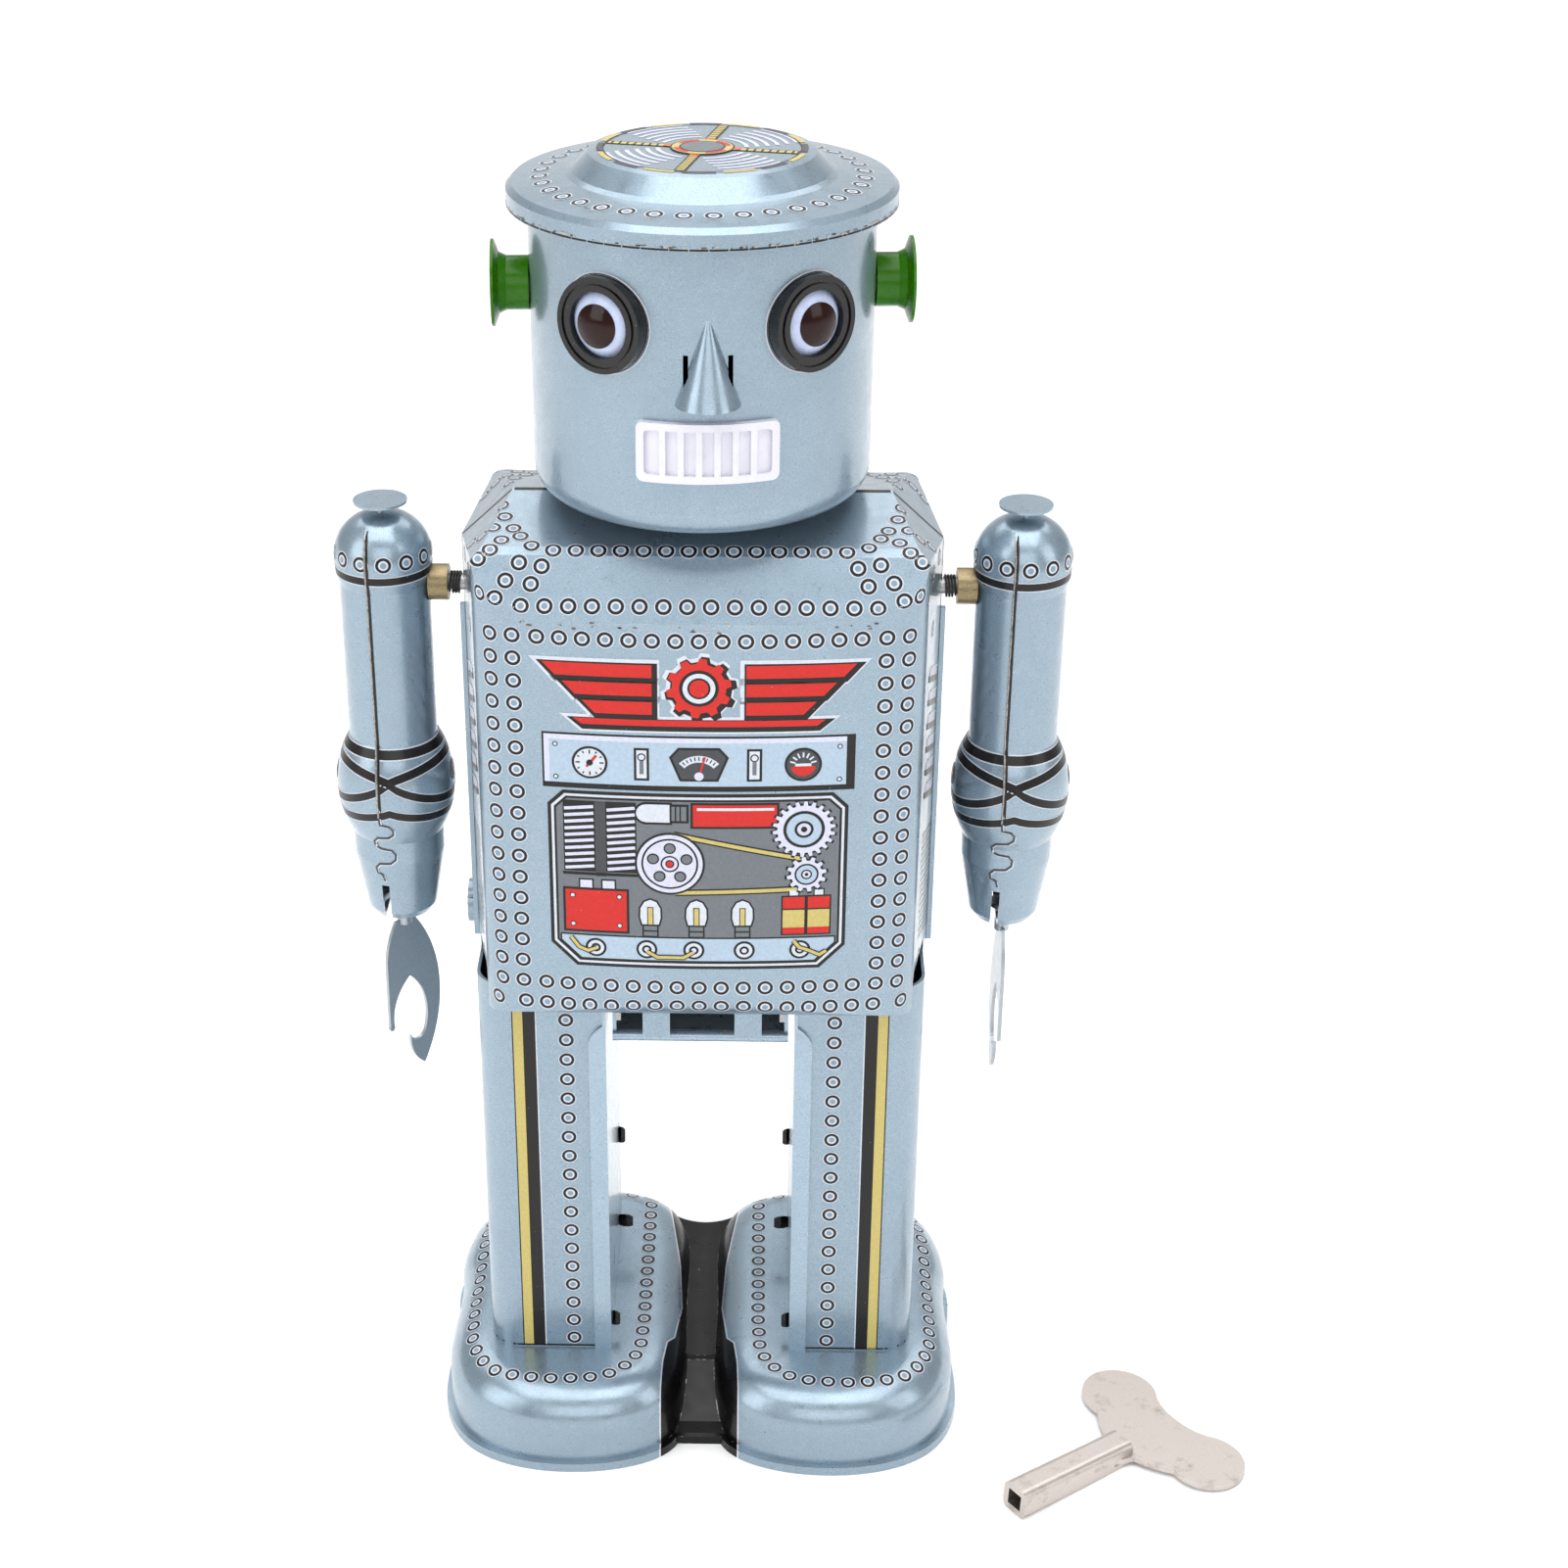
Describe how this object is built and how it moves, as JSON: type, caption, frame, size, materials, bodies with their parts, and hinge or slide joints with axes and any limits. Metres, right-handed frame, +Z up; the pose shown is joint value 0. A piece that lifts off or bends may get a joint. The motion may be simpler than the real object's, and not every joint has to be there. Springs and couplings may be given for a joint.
{
  "type": "toy robot",
  "caption": "Pressed-tin clockwork robot with round-cap head, swinging arms, turning claws, wheels under one foot base, and a loose winding key.",
  "frame": {"origin": "on the floor, under the neck axis, at the middle of the foot base", "axes": "-Y is the robot's front, +Z is up, +X is the right side seen from the front"},
  "size_m": [0.1492, 0.0757, 0.2145],
  "materials": {
    "body_tin": "glossy light steel-blue lacquer over pressed tin",
    "inner_tin": "thin light-blue lacquer over bright tin",
    "black_plastic": "gloss black",
    "white_plastic": "gloss white",
    "pupil": "gloss dark brown",
    "green_plastic": "gloss green",
    "collar_brass": "turned",
    "spring_steel": "blackened spring steel",
    "bar_steel": "drawn bar",
    "claw_tin": "dull blue-grey lacquer",
    "plate_steel": "bright tinplate",
    "tyre_rubber": "matt black rubber",
    "wheel_plastic": "matt black",
    "gear_brass": "cut brass",
    "belt_rubber": "matt black rubber",
    "key_steel": "bright nickel-plated sheet steel"
  },
  "bodies": {
    "robot": {"head_drum": "body_tin", "cap": "body_tin", "neck_boss": "body_tin", "mouth_insert": "white_plastic", "eye_bezel_left": "black_plastic", "eye_bezel_right": "black_plastic", "eye_dome_left": "white_plastic", "eye_dome_right": "white_plastic", "pupil_left": "pupil", "pupil_right": "pupil", "ear_left": "green_plastic", "ear_right": "green_plastic", "torso_front": "body_tin", "torso_back": "body_tin", "hip_tray": "inner_tin", "shoulder_axle": "bar_steel", "shoulder_spring_left": "spring_steel", "shoulder_spring_right": "spring_steel", "leg_left_shell": "body_tin", "leg_right_shell": "body_tin", "leg_left_inner_plate": "inner_tin", "leg_right_inner_plate": "inner_tin", "foot_base": "body_tin", "sole_plate": "plate_steel", "motor_plate_left": "plate_steel", "motor_plate_right": "plate_steel", "motor_pillars": "bar_steel", "mainspring": "spring_steel", "drive_belt": "belt_rubber"},
    "arm_left": {"arm_left_inner_shell": "body_tin", "arm_left_outer_shell": "body_tin", "arm_left_top_disc": "body_tin", "shoulder_collar_left": "collar_brass"},
    "arm_right": {"arm_right_inner_shell": "body_tin", "arm_right_outer_shell": "body_tin", "arm_right_top_disc": "body_tin", "shoulder_collar_right": "collar_brass"},
    "claw_left": {"claw_left": "claw_tin"},
    "claw_right": {"claw_right": "claw_tin"},
    "winding_arbor": {"winding_arbor": "bar_steel"},
    "great_wheel": {"great_wheel": "gear_brass", "click": "bar_steel"},
    "second_wheel": {"second_wheel": "gear_brass", "upper_pulley": "wheel_plastic"},
    "governor": {"governor": "gear_brass"},
    "drive_axle": {"drive_axle": "bar_steel", "drive_wheel_left": "tyre_rubber", "drive_wheel_right": "tyre_rubber", "lower_pulley": "wheel_plastic"},
    "front_axle": {"front_axle": "bar_steel", "front_wheel_left": "wheel_plastic", "front_wheel_right": "wheel_plastic"},
    "key": {"key_shaft": "key_steel", "key_wing": "key_steel"}
  },
  "joints": [
    {"name": "arm_left_swing", "type": "hinge", "parent": "robot", "child": "arm_left", "pos_m": [-0.0486, 0, 0.1467], "axis": [1, 0, 0], "continuous": true},
    {"name": "arm_right_swing", "type": "hinge", "parent": "robot", "child": "arm_right", "pos_m": [0.0486, 0, 0.1467], "axis": [1, 0, 0], "continuous": true},
    {"name": "claw_left_turn", "type": "hinge", "parent": "arm_left", "child": "claw_left", "pos_m": [-0.0486, 0, 0.0886], "axis": [0, 0, 1], "range_deg": [-48, 132]},
    {"name": "claw_right_turn", "type": "hinge", "parent": "arm_right", "child": "claw_right", "pos_m": [0.0486, 0, 0.0886], "axis": [0, 0, 1], "range_deg": [-93, 87]},
    {"name": "winding_arbor_turn", "type": "hinge", "parent": "robot", "child": "winding_arbor", "pos_m": [0, 0.0042, 0.0886], "axis": [1, 0, 0], "continuous": true},
    {"name": "great_wheel_spin", "type": "hinge", "parent": "robot", "child": "great_wheel", "pos_m": [0, 0.0042, 0.0886], "axis": [1, 0, 0], "continuous": true},
    {"name": "second_wheel_spin", "type": "hinge", "parent": "robot", "child": "second_wheel", "pos_m": [0, -0.00015, 0.10483], "axis": [1, 0, 0], "continuous": true},
    {"name": "governor_spin", "type": "hinge", "parent": "robot", "child": "governor", "pos_m": [0, -0.01106, 0.11113], "axis": [1, 0, 0], "continuous": true},
    {"name": "drive_axle_spin", "type": "hinge", "parent": "robot", "child": "drive_axle", "pos_m": [0, 0.009, 0.0055], "axis": [1, 0, 0], "continuous": true},
    {"name": "front_axle_spin", "type": "hinge", "parent": "robot", "child": "front_axle", "pos_m": [0, -0.016, 0.004], "axis": [1, 0, 0], "continuous": true},
    {"name": "key_lift", "type": "slide", "parent": "robot", "child": "key", "axis": [0, 0, 1], "range_m": [0, 0.06]}
  ],
  "couplings": [
    {"joint": "second_wheel_spin", "follows": "great_wheel_spin", "ratio": -2.5},
    {"joint": "governor_spin", "follows": "great_wheel_spin", "ratio": 5},
    {"joint": "drive_axle_spin", "follows": "great_wheel_spin", "ratio": -2.5}
  ]
}
